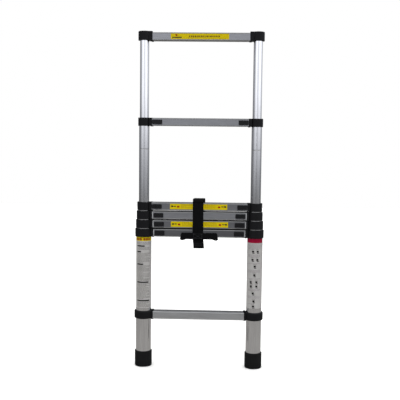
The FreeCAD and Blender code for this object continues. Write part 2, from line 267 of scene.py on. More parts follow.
MARK_BELOW_RUNG, MARK_TALL = 94.7 * MM, 2.8 * MM
MARK_SUNK, MARK_PROUD = 0.34 * MM, 0.15 * MM
MARK_STEPS = 96
TURNED_LINE = 0.4 * MM
bright_cut, tree, shader = new_material("bright_turned_aluminium")
turning = add(tree, "ShaderNodeTexNoise", {
    "Vector": along(tree, (0.1, 0.1, 1)), "Scale": 1 / TURNED_LINE, "Detail": 1.0})
shades(shader, turning.outputs["Fac"], "#E4E4E2", "#F2F2F0")
shader.inputs["Metallic"].default_value = 1.0
shader.inputs["Roughness"].default_value = 0.22
for section in range(2, 6):
    top = middle_height(f"rung_{section}") - MARK_BELOW_RUNG
    mesh = bmesh.new()
    for side in SIDES:
        low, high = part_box(f"{side}_tube_{section}")
        cx, radius = (low[0] + high[0]) / 2, (high[0] - low[0]) / 2
        groove, crest = radius - MARK_SUNK, radius + MARK_PROUD
        outline = ((groove, top), (crest, top - MARK_TALL), (groove, top - MARK_TALL))
        rings = []
        for i in range(MARK_STEPS):
            turn = 2 * math.pi * i / MARK_STEPS
            rings.append([mesh.verts.new((cx + r * math.cos(turn), r * math.sin(turn), z)) for r, z in outline])
        for a, b in zip(rings, rings[1:] + rings[:1]):
            for k in range(3):
                mesh.faces.new((a[k], a[(k + 1) % 3], b[(k + 1) % 3], b[k])).smooth = k == 0
    stop_marks = made(f"tube_{section}_stop_marks", mesh, bright_cut)
    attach(stop_marks, f"section_{section}")


# ---- rungs ----
# Box extrusions with a ribbed tread, etched and anodised grey. Each face is recessed between two
# lips, which rub bright in use while the recess stays dull. The die leaves fine lines along the rung.
EXTRUSION_LINE, ANODISING_CLOUD = 0.7 * MM, 33.33 * MM
RUNG_RECESS_Y, RECESS_SLACK = 16.7 * MM, 0.2 * MM
rung_metal, tree, shader = new_material("anodised_extruded_rung")
lines = add(tree, "ShaderNodeTexNoise", {
    "Vector": along(tree, (0.02, 1, 1)), "Scale": 1 / EXTRUSION_LINE, "Detail": 2.0})
cloud = add(tree, "ShaderNodeTexNoise", {
    "Vector": along(tree, (0.3, 1, 1)), "Scale": 1 / ANODISING_CLOUD, "Detail": 4.0})
rubbed = add(tree, "ShaderNodeValToRGB", {"Fac": lines.outputs["Fac"]})
set_ramp(rubbed, [(0.3, linear("#8C8C8B")), (0.7, linear("#9E9E9C"))])
etched = add(tree, "ShaderNodeValToRGB", {"Fac": lines.outputs["Fac"]}, name="etched")
set_ramp(etched, [(0.3, linear("#828283")), (0.7, linear("#949495"))])
spot = add(tree, "ShaderNodeSeparateXYZ", {"Vector": along(tree, (1, 1, 1))})
out = add(tree, "ShaderNodeMath", {0: spot.outputs["Y"]}, operation="ABSOLUTE")
recess = add(tree, "ShaderNodeMath", {0: out.outputs["Value"], 1: RUNG_RECESS_Y, 2: RECESS_SLACK},
             operation="COMPARE")
tint = add(tree, "ShaderNodeMix", {
    "Factor": recess.outputs["Value"], "A": rubbed.outputs["Color"], "B": etched.outputs["Color"]},
    data_type="RGBA")
tree.links.new(tint.outputs["Result"], shader.inputs["Base Color"])
polish(shader, cloud.outputs["Fac"], 0.28, 0.38)
emboss(shader, lines.outputs["Fac"], 0.2, 0.03 * MM)
shader.inputs["Metallic"].default_value = 1.0
RUNGS = {"bottom_rung": "section_1", "top_rung": "section_6"}
RUNGS |= {f"rung_{section}": f"section_{section}" for section in range(1, 6)}
for rung in RUNGS:
    dress(rung, rung_metal)

# Painted shade in the gaps between the closed lower rungs: treads and undersides far from a rung's middle
# line are near black, rougher and not metallic; the pattern repeats from one closed rung to the next.
LOWER_RUNGS = (1, 2, 3)
RUNG_1_MIDDLE = middle_height("rung_1")
CLOSED_PITCH = middle_height("rung_2") - RUNG_1_MIDDLE
SHADE_FROM, SHADE_SPECKLE, SHADE_ROUGHER = 13.45 * MM, 2 * MM, 0.6
gap_shade_metal = rung_metal.copy()
gap_shade_metal.name = "anodised_rung_painted_gap_shade"
tree = gap_shade_metal.node_tree
shader = tree.nodes["Principled BSDF"]
unshaded_tint, unshaded_rough = (shader.inputs[key].links[0].from_socket for key in ("Base Color", "Roughness"))
spot = add(tree, "ShaderNodeSeparateXYZ", {"Vector": along(tree, (1, 1, 1))})
step = add(tree, "ShaderNodeMath", {0: spot.outputs["Z"], 1: RUNG_1_MIDDLE - CLOSED_PITCH / 2},
           operation="SUBTRACT")
turn = add(tree, "ShaderNodeMath", {0: step.outputs["Value"], 1: CLOSED_PITCH}, operation="FLOORED_MODULO")
off_middle = add(tree, "ShaderNodeMath", {0: turn.outputs["Value"], 1: CLOSED_PITCH / 2}, operation="SUBTRACT")
distance = add(tree, "ShaderNodeMath", {0: off_middle.outputs["Value"]}, operation="ABSOLUTE")
# Painted shade mask: 1 far from a rung's middle line, in the gap between closed rungs.
gap_shade = add(tree, "ShaderNodeMath", {0: distance.outputs["Value"], 1: SHADE_FROM}, operation="GREATER_THAN")
unshaded = add(tree, "ShaderNodeMath", {0: 1.0, 1: gap_shade.outputs["Value"]}, operation="SUBTRACT")
shade_speckle = add(tree, "ShaderNodeTexNoise", {
    "Vector": along(tree, (1, 1, 1)), "Scale": 1 / SHADE_SPECKLE, "Detail": 3.0})
# The near-black colour of the painted gap shade, speckled.
shade_tone = add(tree, "ShaderNodeValToRGB", {"Fac": shade_speckle.outputs["Fac"]})
set_ramp(shade_tone, [(0.3, linear("#121212")), (0.7, linear("#1E1D1C"))])
tint = add(tree, "ShaderNodeMix", {
    "Factor": gap_shade.outputs["Value"], "A": unshaded_tint, "B": shade_tone.outputs["Color"]}, data_type="RGBA")
tree.links.new(tint.outputs["Result"], shader.inputs["Base Color"])
rough = add(tree, "ShaderNodeMath", {0: gap_shade.outputs["Value"], 1: SHADE_ROUGHER, 2: unshaded_rough},
            operation="MULTIPLY_ADD", use_clamp=True)
tree.links.new(rough.outputs["Value"], shader.inputs["Roughness"])
tree.links.new(unshaded.outputs["Value"], shader.inputs["Metallic"])
for section in LOWER_RUNGS:
    dress(f"rung_{section}", gap_shade_metal)

# Rungs 1, 2 and 4 have darker recesses; on rung 1 it is painted shade of the handle hanging in front.
for rung, batch, dark, pale in (("rung_1", gap_shade_metal, "#606061", "#707071"),
                                ("rung_2", gap_shade_metal, "#686869", "#787879"),
                                ("rung_4", rung_metal, "#707071", "#808081")):
    darker_recess_finish = batch.copy()
    darker_recess_finish.name = f"{batch.name}_{rung}"
    set_ramp(darker_recess_finish.node_tree.nodes["etched"], [(0.3, linear(dark)), (0.7, linear(pale))])
    dress(rung, darker_recess_finish)

# The bottom rung is coloured paler than the others.
pale_rung_metal = rung_metal.copy()
pale_rung_metal.name = "anodised_rung_pale"
for node in pale_rung_metal.node_tree.nodes:
    if node.type == "VALTORGB":
        set_ramp(node, [(0.3, linear("#ABABAA")), (0.7, linear("#BFBFBD"))])
dress("bottom_rung", pale_rung_metal)


# ---- rung end trims ----
# A strip of thin aluminium at each end of rungs 1 to 3; its pale colour is a painted highlight for the
# bright line there. It lies in the front recess, close beside the collar's flange.
TRIM_WIDE, TRIM_THICK, TRIM_TALL = 2.4 * MM, 0.25 * MM, 21.2 * MM
TRIM_FROM_END = 0.1 * MM
TRIM_LINE = 1.111 * MM
# Its pale colour is a painted highlight.
highlight_trim_metal, tree, shader = new_material("pale_aluminium_trim_painted_highlight")
lines = add(tree, "ShaderNodeTexNoise", {
    "Vector": along(tree, (1, 1, 0.05)), "Scale": 1 / TRIM_LINE, "Detail": 2.0})
shades(shader, lines.outputs["Fac"], "#B4B4B2", "#CFCFCC")
shader.inputs["Metallic"].default_value = 1.0
shader.inputs["Roughness"].default_value = 0.4
for section in LOWER_RUNGS:
    low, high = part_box(f"rung_{section}")
    y, z = -RUNG_RECESS_Y - TRIM_THICK / 2, middle_height(f"rung_{section}")
    mesh = bmesh.new()
    for end, inward in ((low[0], 1), (high[0], -1)):
        place = Matrix.Translation((end + inward * (TRIM_WIDE / 2 + TRIM_FROM_END), y, z))
        size = Matrix.Diagonal((TRIM_WIDE, TRIM_THICK, TRIM_TALL, 1))
        bmesh.ops.create_cube(mesh, size=1, matrix=place @ size)
    trims = made(f"rung_{section}_end_trims", mesh, highlight_trim_metal)
    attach(trims, f"section_{section}")


# ---- collars, caps and clamps ----
# Glass-filled nylon mouldings, black, with the fine matt grain of a spark-eroded mould.
COLLARED = range(1, 6)
GRAIN, SCUFF = 0.5 * MM, 16.67 * MM
nylon, tree, shader = new_material("moulded_glass_filled_nylon")
grain = add(tree, "ShaderNodeTexNoise", {
    "Vector": along(tree, (1, 1, 1)), "Scale": 1 / GRAIN, "Detail": 2.0})
scuff = add(tree, "ShaderNodeTexNoise", {
    "Vector": along(tree, (1, 1, 1)), "Scale": 1 / SCUFF, "Detail": 6.0, "Roughness": 0.7})
shades(shader, scuff.outputs["Fac"], "#080809", "#101011", (0.35, 0.75))
polish(shader, scuff.outputs["Fac"], 0.42, 0.6)
emboss(shader, grain.outputs["Fac"], 0.35, 0.05 * MM)
shader.inputs["Specular IOR Level"].default_value = 0.16
for side in SIDES:
    for section in COLLARED:
        dress(f"{side}_collar_{section}", nylon)
    dress(f"{side}_top_cap", nylon)
    dress(f"{side}_clamp", nylon)


# ---- release buttons ----
# Smooth black acetal thumb slides, ribbed for grip, shinier than the collars where thumbs rub them.
THUMB_WEAR = 9.091 * MM
acetal, tree, shader = new_material("moulded_acetal")
wear = add(tree, "ShaderNodeTexNoise", {
    "Vector": along(tree, (1, 1, 1)), "Scale": 1 / THUMB_WEAR, "Detail": 4.0})
shades(shader, wear.outputs["Fac"], "#0A0A0B", "#131314", (0.3, 0.8))
polish(shader, wear.outputs["Fac"], 0.28, 0.42)
shader.inputs["Specular IOR Level"].default_value = 0.22
for side in SIDES:
    for section in COLLARED:
        dress(f"{side}_release_button_{section}", acetal)


# ---- feet ----
# Moulded rubber boots pushed on the widest tubes: dull black, with grip rings near the floor.
BLOOM, PORE = 28.57 * MM, 0.7143 * MM
rubber, tree, shader = new_material("moulded_rubber")
bloom = add(tree, "ShaderNodeTexNoise", {
    "Vector": along(tree, (1, 1, 1)), "Scale": 1 / BLOOM, "Detail": 5.0})
pores = add(tree, "ShaderNodeTexNoise", {
    "Vector": along(tree, (1, 1, 1)), "Scale": 1 / PORE, "Detail": 2.0})
shades(shader, bloom.outputs["Fac"], "#080808", "#111110", (0.3, 0.75))
emboss(shader, pores.outputs["Fac"], 0.4, 0.06 * MM)
shader.inputs["Roughness"].default_value = 0.68
shader.inputs["Specular IOR Level"].default_value = 0.18
for side in SIDES:
    dress(f"{side}_foot", rubber)


# ---- fasteners and springs ----
# Zinc-plated pan-head screws with a cross recess, one at each end of every rung at its back, and
# smaller countersunk ones through the back of each clamp. Drawn steel springs lie inside the rungs.
SPANGLE = 2.5 * MM
zinc, tree, shader = new_material("zinc_plated_steel")
spangle = add(tree, "ShaderNodeTexNoise", {
    "Vector": along(tree, (1, 1, 1)), "Scale": 1 / SPANGLE, "Detail": 3.0})
shades(shader, spangle.outputs["Fac"], "#A9AAA8", "#C9C9C4")
polish(shader, spangle.outputs["Fac"], 0.25, 0.45, (0.0, 1.0))
shader.inputs["Metallic"].default_value = 1.0
for section in COLLARED:
    dress(f"lock_springs_{section}", zinc)


def new_group(name, inputs):
    """A geometry node group with a Geometry input and output, and the named inputs."""
    group = bpy.data.node_groups.new(name, "GeometryNodeTree")
    group.interface.new_socket("Geometry", in_out="OUTPUT", socket_type="NodeSocketGeometry")
    group.interface.new_socket("Geometry", in_out="INPUT", socket_type="NodeSocketGeometry")
    for label_text, kind in inputs.items():
        group.interface.new_socket(label_text, in_out="INPUT", socket_type="NodeSocket" + kind)
    return group, add(group, "NodeGroupInput").outputs


def finish_group(group, geometry, material):
    """Ends a group: instances made real and given their material."""
    real = add(group, "GeometryNodeRealizeInstances", {"Geometry": geometry})
    dressed = add(group, "GeometryNodeSetMaterial", {
        "Geometry": real.outputs["Geometry"], "Material": material})
    add(group, "NodeGroupOutput", {0: dressed.outputs["Geometry"]})


def grown(name, seed_mesh, group, values):
    """Runs a group over a mesh and keeps the result as a plain mesh."""
    piece = link_mesh(name, seed_mesh)
    modifier = piece.modifiers.new("grow", "NODES")
    modifier.node_group = group
    for item in group.interface.items_tree:
        if item.in_out == "INPUT" and item.name in values:
            modifier[item.identifier] = values[item.name]
    bpy.context.view_layer.update()
    shape = bpy.data.meshes.new_from_object(piece.evaluated_get(bpy.context.evaluated_depsgraph_get()))
    piece.modifiers.clear()
    shape.name = name
    piece.data = shape
    return piece


screw_group, given = new_group("pan_head_screw", {
    "Head Radius": "Float", "Head Height": "Float", "Shank Radius": "Float", "Shank Length": "Float",
    "Recess Width": "Float", "Recess Depth": "Float", "Metal": "Material"})
RIM_SHARE, RECESS_REACH = 0.72, 1.05
rim = add(screw_group, "ShaderNodeMath", {0: given["Head Radius"], 1: RIM_SHARE}, operation="MULTIPLY")
head = add(screw_group, "GeometryNodeMeshCone", {
    "Vertices": 28, "Side Segments": 2, "Radius Top": rim.outputs["Value"],
    "Radius Bottom": given["Head Radius"], "Depth": given["Head Height"]})
reach = add(screw_group, "ShaderNodeMath", {0: given["Head Radius"], 1: RECESS_REACH}, operation="MULTIPLY")
tall = add(screw_group, "ShaderNodeMath", {0: given["Recess Depth"], 1: 2.0}, operation="MULTIPLY")
cut_head = add(screw_group, "GeometryNodeMeshBoolean", {"Mesh 1": head.outputs["Mesh"]},
               operation="DIFFERENCE")
for long_axis in ("X", "Y"):
    size = add(screw_group, "ShaderNodeCombineXYZ", {
        "X": given["Recess Width"], "Y": given["Recess Width"], "Z": tall.outputs["Value"]})
    screw_group.links.new(reach.outputs["Value"], size.inputs[long_axis])
    blade = add(screw_group, "GeometryNodeMeshCube", {"Size": size.outputs["Vector"]})
    lift = add(screw_group, "ShaderNodeCombineXYZ", {"Z": given["Head Height"]})
    raised = add(screw_group, "GeometryNodeTransform", {
        "Geometry": blade.outputs["Mesh"], "Translation": lift.outputs["Vector"]})
    screw_group.links.new(raised.outputs["Geometry"], cut_head.inputs["Mesh 2"])
shank = add(screw_group, "GeometryNodeMeshCylinder", {
    "Vertices": 16, "Radius": given["Shank Radius"], "Depth": given["Shank Length"]})
sunk = add(screw_group, "ShaderNodeMath", {0: given["Shank Length"], 1: -0.5}, operation="MULTIPLY")
down = add(screw_group, "ShaderNodeCombineXYZ", {"Z": sunk.outputs["Value"]})
shank_low = add(screw_group, "GeometryNodeTransform", {
    "Geometry": shank.outputs["Mesh"], "Translation": down.outputs["Vector"]})
screw = add(screw_group, "GeometryNodeJoinGeometry")
screw_group.links.new(cut_head.outputs["Mesh"], screw.inputs["Geometry"])
screw_group.links.new(shank_low.outputs["Geometry"], screw.inputs["Geometry"])
facing_back = add(screw_group, "FunctionNodeEulerToRotation", {"Euler": (-math.pi / 2, 0, 0)})
own_axis = add(screw_group, "FunctionNodeRandomValue", {"Min": 0.0, "Max": math.pi / 2, "Seed": 7},
               data_type="FLOAT")
about = add(screw_group, "FunctionNodeAxisAngleToRotation", {"Axis": (0, 0, 1), "Angle": own_axis.outputs[1]})
twist = add(screw_group, "FunctionNodeRotateRotation", {
    "Rotation": facing_back.outputs["Rotation"], "Rotate By": about.outputs["Rotation"]},
    rotation_space="LOCAL")
placed = add(screw_group, "GeometryNodeInstanceOnPoints", {
    "Points": given["Geometry"], "Instance": screw.outputs["Geometry"],
    "Rotation": twist.outputs["Rotation"]})
finish_group(screw_group, placed.outputs["Instances"], given["Metal"])


def screws(name, points, body, **sizes):
    """One screw at each point, facing back. Its sizes are in mm."""
    seeds = bpy.data.meshes.new(name)
    seeds.from_pydata(points, [], [])
    values = {key.replace("_", " ").title(): value * MM for key, value in sizes.items()}
    piece = grown(name, seeds, screw_group, values | {"Metal": zinc})
    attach(piece, body)
    return piece


SCREW_FROM_RUNG_END = 42 * MM
for section in SECTIONS:
    points = []
    for rung in [name for name, body in RUNGS.items() if body == f"section_{section}"]:
        low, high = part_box(rung)
        for x in (low[0] + SCREW_FROM_RUNG_END, high[0] - SCREW_FROM_RUNG_END):
            points.append((x, RUNG_RECESS_Y, middle_height(rung)))
    piece = screws(f"rung_{section}_screws", points, f"section_{section}", head_radius=4.75, head_height=1.6,
                   shank_radius=2.4, shank_length=9.5, recess_width=1.3, recess_depth=1.1)
    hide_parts(f"rung_screws_{section}")
CLAMP_SCREW_X, CLAMP_SCREW_SUNK, CLAMP_SCREW_RISE = 200 * MM, 0.45 * MM, 13.7 * MM
clamp_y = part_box("left_clamp")[1][1] - CLAMP_SCREW_SUNK
clamp_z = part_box("bottom_rung")[0][2] + CLAMP_SCREW_RISE
screws("clamp_screws", [(x, clamp_y, clamp_z) for x in (-CLAMP_SCREW_X, CLAMP_SCREW_X)], "section_1",
       head_radius=4.0, head_height=0.5, shank_radius=1.9, shank_length=5.5, recess_width=1.1,
       recess_depth=0.4)


# ---- labels ----
# Printed vinyl film under a clear coat, a fifth of a millimetre thick, stuck round the widest tubes
# and on the recessed faces of three rungs. The print is plain bars and blocks, with no lettering.
FILM_LOW, FILM_HIGH, PRINT_LOW, PRINT_HIGH = 0.02, 0.20, 0.15, 0.26
FADED_PATCH, VINYL_LEAST, VINYL_MOST = 22.22 * MM, 0.36, 0.48


def vinyl(name, pale, dark):
    material, tree, shader = new_material(name)
    fade = add(tree, "ShaderNodeTexNoise", {
        "Vector": along(tree, (1, 1, 1)), "Scale": 1 / FADED_PATCH, "Detail": 5.0})
    shades(shader, fade.outputs["Fac"], dark, pale)
    polish(shader, fade.outputs["Fac"], VINYL_LEAST, VINYL_MOST, (0.0, 1.0))
    shader.inputs["Specular IOR Level"].default_value = 0.2
    return material


INKS = {
    "yellow": vinyl("vinyl_yellow", "#F4DC00", "#EAD000"),
    "white": vinyl("vinyl_white", "#D3D1CE", "#C6C4C1"),
    "crimson": vinyl("vinyl_crimson", "#AE0038", "#9C0030"),
    "black": vinyl("ink_black", "#1C1916", "#12100E"),
    "grey": vinyl("ink_grey", "#8F8B86", "#7C7874"),
    "brown": vinyl("ink_brown", "#A85618", "#984A12"),
    "red": vinyl("ink_red", "#B8200C", "#A41A08"),
    "ochre": vinyl("ink_ochre", "#B99A22", "#A8891A"),
    "umber": vinyl("ink_umber", "#7A5A1C", "#6A4C16"),
    "faint": vinyl("ink_faint", "#ABA3A6", "#9C9599"),
}


def on_tube(box):
    """Lays (u, v) in mm on the front of a tube: u round it from its front line, v from the floor."""
    low, high = box
    cx, cy = (low[0] + high[0]) / 2, (low[1] + high[1]) / 2
    radius = (high[0] - low[0]) / 2

    def place(u, v, lift):
        turn = u * MM / radius
        r = radius + lift * MM
        return Vector((cx + r * math.sin(turn), cy - r * math.cos(turn), v * MM))
    return place


def on_rung(rung, recess):
    """Lays (u, v) in mm on a rung's front: u along it from its middle, v from its middle line."""
    front_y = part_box(rung)[0][1]
    middle = middle_height(rung)

    def place(u, v, lift):
        return Vector((u * MM, front_y + (recess - lift) * MM, middle + v * MM))
    return place


def film(mesh, place, ink, u, v, low, high, step=2.5):
    """A thin closed patch between two spans of u and v, from one lift off the surface to another."""
    columns = max(1, math.ceil((u[1] - u[0]) / step))
    edge = ((v[0], low), (v[0], high), (v[1], high), (v[1], low))
    rings = []
    for i in range(columns + 1):
        at = u[0] + (u[1] - u[0]) * i / columns
        rings.append([mesh.verts.new(place(at, across, lift)) for across, lift in edge])
    faces = [rings[0], rings[-1][::-1]]
    for a, b in zip(rings, rings[1:]):
        faces += [(a[k], b[k], b[(k + 1) % 4], a[(k + 1) % 4]) for k in range(4)]
    for corners in faces:
        mesh.faces.new(corners).material_index = list(INKS).index(ink)


def label(name, body, place, base, prints):
    """base is a list of (ink, u span, v span) of film, and prints the same for what is on it."""
    mesh = bmesh.new()
    for patch in base:
        film(mesh, place, *patch, FILM_LOW, FILM_HIGH)
    for patch in prints:
        film(mesh, place, *patch, PRINT_LOW, PRINT_HIGH)
    piece = made(name, mesh, *INKS.values())
    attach(piece, body)


def lines_of_bars(rng, ink, u, v, pitch, thick, word=(3.0, 8.0), gap=1.3, fill=1.0):
    """Rows of plain bars, as a block of small print looks from where it can't be read."""
    out = []
    top = v[1]
    while top - thick > v[0]:
        at = u[0]
        end = u[0] + (u[1] - u[0]) * (fill if rng.random() > 0.3 else fill * rng.uniform(0.45, 0.9))
        while at < end - word[0]:
            long = min(rng.uniform(*word), end - at)
            out.append((ink, (at, at + long), (top - thick, top)))
            at += long + gap
        top -= pitch
    return out


# Rung labels: yellow, with rows of bars between dark and red blocks.
RUNG_RECESS = 0.8
LABEL_LOW, LABEL_HIGH = -9.0, 11.0
RUNG_LABEL_LENGTH = 204.0
for rung, shift, seed in (("top_rung", -4.7, 1), ("rung_4", -2.9, 2), ("rung_2", 0.9, 3)):
    rng = random.Random(seed)
    place = on_rung(rung, RUNG_RECESS)
    left, right = shift - RUNG_LABEL_LENGTH / 2, shift + RUNG_LABEL_LENGTH / 2
    if rung == "top_rung":
        marks = [("black", (left + 5 + 4.2 * i, left + 8.4 + 4.2 * i), (-5.6, -1.0)) for i in range(8)]
        marks.append(("red", (left + 16.5, left + 23), (1.8, 7.6)))
        at = left + 64
        while at < right - 30:
            long = rng.uniform(3.0, 6.0)
            marks.append(("umber", (at, at + long), (-1.6, 3.4)))
            at += long + rng.uniform(1.6, 3.0)
        marks += lines_of_bars(rng, "ochre", (left + 60, right - 12), (-7.0, -2.8), 1.9, 0.7)
    else:
        marks = []
        for ink, near, far, rise in (("black", 4, 11, (-1.6, 4.0)), ("black", 12.5, 21, (-0.2, 3.0)),
                                     ("red", 25, 33, (-3.0, 2.8))):
            marks += [(ink, (left + near, left + far), rise), (ink, (right - far, right - near), rise)]
        for span in ((left + 40, -26), (18, right - 40)):
            marks += lines_of_bars(rng, "ochre", span, (-6.4, 8.4), 2.4, 0.9)
    label(f"{rung}_label", RUNGS[rung], place, [("yellow", (left, right), (LABEL_LOW, LABEL_HIGH))], marks)

# Left tube: a yellow band over a white body with dark headings and grey small print.
LEFT_SPAN, LEFT_BODY, LEFT_BAND = (-37.0, 37.0), (216.0, 459.0), (459.0, 473.4)
BAND_BLOCKS = (-29.5, -20.5, -11.5, 1.5, 10.5, 19.5)
HEADINGS = ((441, -23.5, 6), (420.4, -23.5, -7), (375.2, -23.5, 1), (309.8, -23.5, 21.5), (242.7, -23.5, 26))
HEADING_HALF = 2.4
LEFT_PARAGRAPHS = ((455, 446), (436, 425), (416, 379), (371, 314), (305, 247), (238, 218))
rng = random.Random(11)
place = on_tube(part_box("left_tube_1"))
base = [("yellow", LEFT_SPAN, LEFT_BAND), ("white", LEFT_SPAN, LEFT_BODY)]
marks = [("brown", (at, at + 7.6), (461.0, 469.4)) for at in BAND_BLOCKS]
for v, start, end in HEADINGS:
    marks.append(("black", (start, end), (v - HEADING_HALF, v + HEADING_HALF)))
for top, bottom in LEFT_PARAGRAPHS:
    marks += lines_of_bars(rng, "grey", (-23.5, 28), (bottom, top), 3.4, 1.5)
label("left_tube_label", "section_1", place, base, marks)

# Right tube: a crimson band over a white body with one or two columns of plain dark blocks.
RIGHT_SPAN, RIGHT_BODY, RIGHT_BAND = (-37, 31), (221.0, 458.0), (458.0, 473.4)
BLOCK_ROWS = ((425.7, (-7, 10)), (396.2, (-8.5, 9)), (372.1, (0,)), (341.1, (-1,)), (315.8, (-14, 7)),
              (300.5, (-13, 7)), (275.2, (-5.5,)), (246.6, (-2.5,)), (227.5, (-4,)))
RIGHT_PARAGRAPHS = ((456, 436), (416, 406), (385, 380), (361, 350), (330, 325), (291, 283), (267, 256),
                    (239, 236))
rng = random.Random(12)
place = on_tube(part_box("right_tube_1"))
base = [("crimson", RIGHT_SPAN, RIGHT_BAND), ("white", RIGHT_SPAN, RIGHT_BODY)]
marks = []
for v, columns in BLOCK_ROWS:
    for u in columns:
        marks.append(("black", (u - 3.9, u + 3.9), (v - 1.6, v + 5.0)))
        marks.append(("black", (u - 2.4, u + 5.6), (v - 5.4, v - 2.8)))
        marks += lines_of_bars(rng, "grey", (u - 6, u + 7), (v + 6, v + 10), 2.0, 0.8, (2.0, 4.0), 0.8)
for top, bottom in RIGHT_PARAGRAPHS:
    marks += lines_of_bars(rng, "faint", (-26, 22), (bottom, top), 3.6, 1.4)
label("right_tube_label", "section_1", place, base, marks)


# ---- carry strap ----
# Black polypropylene webbing, 37 mm wide, hung over rung 4 and down both faces of the closed rungs.
# The lower end of the front run is turned up and sewn. The loop over the rung is soft.
WEAVE_PITCH = 1.7
webbing, tree, shader = new_material("woven_polypropylene_webbing")
uv = add(tree, "ShaderNodeUVMap", uv_map="weave")
picks = add(tree, "ShaderNodeMapping", {
    "Vector": uv.outputs["UV"], "Scale": (1000 / WEAVE_PITCH, 1000 / WEAVE_PITCH, 1)}).outputs["Vector"]
cloth = add(tree, "ShaderNodeTexWave", {
    "Vector": picks, "Scale": 0.32, "Distortion": 0.6, "Detail": 1.0}, bands_direction="Y")
warp = add(tree, "ShaderNodeTexWave", {
    "Vector": picks, "Scale": 0.5, "Distortion": 0.4, "Detail": 1.0}, bands_direction="DIAGONAL")
woven = add(tree, "ShaderNodeMath", {0: cloth.outputs["Fac"], 1: warp.outputs["Fac"]}, operation="MULTIPLY")
shades(shader, woven.outputs["Value"], "#030304", "#0C0C0D", (0.0, 1.0))
emboss(shader, woven.outputs["Value"], 0.6, 0.35 * MM)
shader.inputs["Roughness"].default_value = 0.8
shader.inputs["Specular IOR Level"].default_value = 0.1
shader.inputs["Sheen Weight"].default_value = 0.03
shader.inputs["Sheen Roughness"].default_value = 0.5


def band(name, points, half, rounds=5):
    """Webbing along a list of points, flat across X: a closed ribbon with rounded edges."""
    mesh = bmesh.new()
    weave = mesh.loops.layers.uv.new("weave")
    across = Vector((1, 0, 0))
    lengths = []
    rings = []
    run = 0.0
    for i, p in enumerate(points):
        a = points[max(i - 1, 0)]
        b = points[min(i + 1, len(points) - 1)]
        out = (b - a).normalized().cross(across)
        run += (p - points[i - 1]).length if i else 0.0
        lengths.append(run)
        ring = []
        for side in (1, -1):
            for k in range(rounds + 1):
                turn = math.pi * (0.5 - k / rounds)
                w = side * (half - STRAP_THICK / 2 * (1 - math.cos(turn)))
                d = side * STRAP_THICK / 2 * math.sin(turn)
                ring.append(mesh.verts.new(p + across * w + out * d))
        rings.append(ring)
    count = len(rings[0])
    widths = [(v.co - points[0]).dot(across) for v in rings[0]]
    for i, (a, b) in enumerate(zip(rings, rings[1:])):
        for k in range(count):
            n = (k + 1) % count
            face = mesh.faces.new((a[k], a[n], b[n], b[k]))
            face.smooth = True
            for loop, (w, r) in zip(face.loops, ((k, i), (n, i), (n, i + 1), (k, i + 1))):
                loop[weave].uv = (widths[w], lengths[r])
    for ring in (rings[0][::-1], rings[-1]):
        mesh.faces.new(ring)
    return made(name, mesh, webbing)


strap_low, strap_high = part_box("carry_strap")
rung_4_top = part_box("rung_4")[1][2]
STRAP_THICK = 2.0 * MM
STRAP_HALF = (strap_high[0] - strap_low[0]) / 2 - 0.2 * MM
FRONT_X = (strap_low[0] + strap_high[0]) / 2
BACK_X = FRONT_X + 5.4 * MM
BACK_BOTTOM = 472 * MM
LEAN_FROM, END_LEAN = 482 * MM, 3.6 * MM
HEM = 27 * MM
front_y = strap_low[1] + STRAP_THICK / 2 + 0.1 * MM
back_y = -front_y
strap_end = strap_low[2] - 0.4 * MM


def straight(x, y, low, high, count):
    """Points up a straight run."""
    return [Vector((x, y, low + (high - low) * i / count)) for i in range(count + 1)]


def ease(value, low, high):
    """Goes smoothly from 0 at low to 1 at high."""
    t = min(1.0, max(0.0, (value - low) / (high - low)))
    return t * t * (3 - 2 * t)


def leaned(points):
    """The free end of the front run drifts sideways below the handle."""
    return [p + Vector((END_LEAN * ease(p.z, LEAN_FROM, strap_end), 0, 0)) for p in points]


front_points = leaned(straight(FRONT_X, front_y, strap_end, rung_4_top, 60))
back_points = straight(BACK_X, back_y, BACK_BOTTOM, rung_4_top, 30)
strap_front = band("strap_front_run", front_points, STRAP_HALF)
strap_back = band("strap_back_run", back_points, STRAP_HALF)

# The end turned back behind the run, and its rounded fold.
fold_points = []
for i in range(9):
    turn = math.pi * i / 8
    fold_points.append(Vector((FRONT_X, front_y + STRAP_THICK / 2 * (1 - math.cos(turn)),
                               strap_end - STRAP_THICK / 2 * math.sin(turn))))
hem_run = straight(FRONT_X, front_y + STRAP_THICK, strap_end + 1 * MM, strap_end + HEM, 14)
hem_points = leaned(fold_points + hem_run)
strap_hem = band("strap_hem", hem_points, STRAP_HALF - 0.2 * MM)

# The loop over the rung starts just below its top at both faces, and its two bends are round.
BEND, LOOP_OVERLAP = 8.0 * MM, 1 * MM
loop_top = strap_high[2] - STRAP_THICK / 2 - 1.9 * MM
loop_points = [Vector((FRONT_X, front_y, rung_4_top - LOOP_OVERLAP))]
for corner_y, start in ((front_y + BEND, math.pi), (back_y - BEND, math.pi / 2)):
    for i in range(9):
        turn = start - i / 8 * math.pi / 2
        y = corner_y + BEND * math.cos(turn)
        x = FRONT_X + (BACK_X - FRONT_X) * (y - front_y) / (back_y - front_y)
        loop_points.append(Vector((x, y, loop_top - BEND + BEND * math.sin(turn))))
loop_points.append(Vector((BACK_X, back_y, rung_4_top - LOOP_OVERLAP)))
strap_loop = band("strap_top_loop", loop_points, STRAP_HALF)


for piece, points in ((strap_front, front_points), (strap_back, back_points), (strap_loop, loop_points),
                      (strap_hem, hem_points)):
    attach(piece, "section_4")
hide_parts("carry_strap")
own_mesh(strap_loop)


